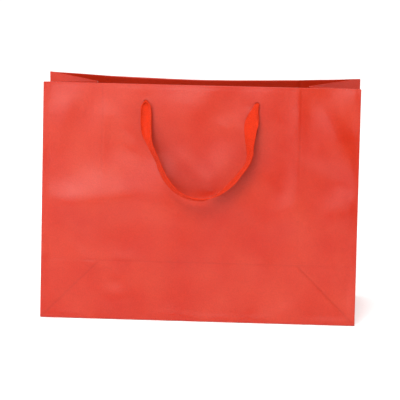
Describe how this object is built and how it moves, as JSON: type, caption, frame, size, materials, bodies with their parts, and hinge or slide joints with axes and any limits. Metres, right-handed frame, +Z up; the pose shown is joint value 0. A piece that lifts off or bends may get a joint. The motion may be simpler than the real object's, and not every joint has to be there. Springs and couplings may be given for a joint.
{
  "type": "gift bag",
  "caption": "Landscape gusseted paper gift bag with a flat glued base, turned-in card-stiffened top edge and knotted ribbon handles.",
  "frame": {"origin": "middle of the underside, on the surface that the bag stands on", "axes": "+X across the bag's width to the right as seen from the front, +Y from the front panel to the back panel, +Z up"},
  "size_m": [0.32, 0.1252, 0.2385],
  "materials": {
    "panel_paper": "satin film laminate, printed red",
    "gusset_paper": "satin film laminate, printed red",
    "turned_in_paper": "satin film laminate, printed red",
    "base_paper": "satin film laminate, printed red",
    "white_card": "uncoated",
    "ribbon": "woven herringbone ribbon"
  },
  "bodies": {
    "base": {"base_left_flap": "base_paper", "base_right_flap": "base_paper", "base_front_flap": "base_paper", "base_back_flap": "base_paper", "base_card": "white_card", "left_gusset_web": "gusset_paper", "right_gusset_web": "gusset_paper"},
    "front_wall": {"front_panel": "panel_paper", "front_turn_in": "turned_in_paper", "front_top_card": "white_card", "front_left_knot": "ribbon", "front_right_knot": "ribbon", "side_glue_lap": "base_paper"},
    "back_wall": {"back_panel": "panel_paper", "back_turn_in": "turned_in_paper", "back_top_card": "white_card", "back_left_knot": "ribbon", "back_right_knot": "ribbon"},
    "left_front_gusset": {"left_front_gusset_fold": "gusset_paper", "left_front_gusset_turn_in": "turned_in_paper"},
    "right_front_gusset": {"right_front_gusset_fold": "gusset_paper", "right_front_gusset_turn_in": "turned_in_paper"},
    "left_back_gusset": {"left_back_gusset_fold": "gusset_paper", "left_back_gusset_turn_in": "turned_in_paper"},
    "right_back_gusset": {"right_back_gusset_fold": "gusset_paper", "right_back_gusset_turn_in": "turned_in_paper"},
    "front_ribbon": {"front_handle": "ribbon"},
    "back_ribbon": {"back_handle": "ribbon"}
  },
  "joints": [
    {"name": "front_wall_crease", "type": "hinge", "parent": "base", "child": "front_wall", "pos_m": [0, -0.06, 0.00035], "axis": [-1, 0, 0], "range_deg": [-4.3, 4], "stiffness_Nm_per_rad": 0.6},
    {"name": "back_wall_crease", "type": "hinge", "parent": "base", "child": "back_wall", "pos_m": [0, 0.06, 0.00035], "axis": [1, 0, 0], "range_deg": [-4.3, 4]},
    {"name": "left_front_gusset_crease", "type": "hinge", "parent": "front_wall", "child": "left_front_gusset", "pos_m": [-0.15965, -0.05871, 0.00019], "axis": [0, -0.125, -0.9922], "range_deg": [-18.3, 17]},
    {"name": "right_front_gusset_crease", "type": "hinge", "parent": "front_wall", "child": "right_front_gusset", "pos_m": [0.15965, -0.05871, 0.00019], "axis": [0, 0.125, 0.9922], "range_deg": [-18.3, 17]},
    {"name": "left_back_gusset_crease", "type": "hinge", "parent": "back_wall", "child": "left_back_gusset", "pos_m": [-0.15965, 0.05871, 0.00019], "axis": [0, -0.125, 0.9922], "range_deg": [-18.3, 17]},
    {"name": "right_back_gusset_crease", "type": "hinge", "parent": "back_wall", "child": "right_back_gusset", "pos_m": [0.15965, 0.05871, 0.00019], "axis": [0, 0.125, -0.9922], "range_deg": [-18.3, 17]},
    {"name": "front_handle_swing", "type": "hinge", "parent": "front_wall", "child": "front_ribbon", "pos_m": [0, -0.03344, 0.22076], "axis": [-1, 0, 0], "range_deg": [0, 161]},
    {"name": "back_handle_swing", "type": "hinge", "parent": "back_wall", "child": "back_ribbon", "pos_m": [0, 0.02429, 0.21946], "axis": [1, 0, 0], "range_deg": [0, 161]}
  ],
  "couplings": [
    {"joint": "back_wall_crease", "follows": "front_wall_crease", "ratio": 1},
    {"joint": "left_front_gusset_crease", "follows": "front_wall_crease", "ratio": 4.25},
    {"joint": "right_front_gusset_crease", "follows": "front_wall_crease", "ratio": 4.25},
    {"joint": "left_back_gusset_crease", "follows": "front_wall_crease", "ratio": 4.25},
    {"joint": "right_back_gusset_crease", "follows": "front_wall_crease", "ratio": 4.25}
  ]
}
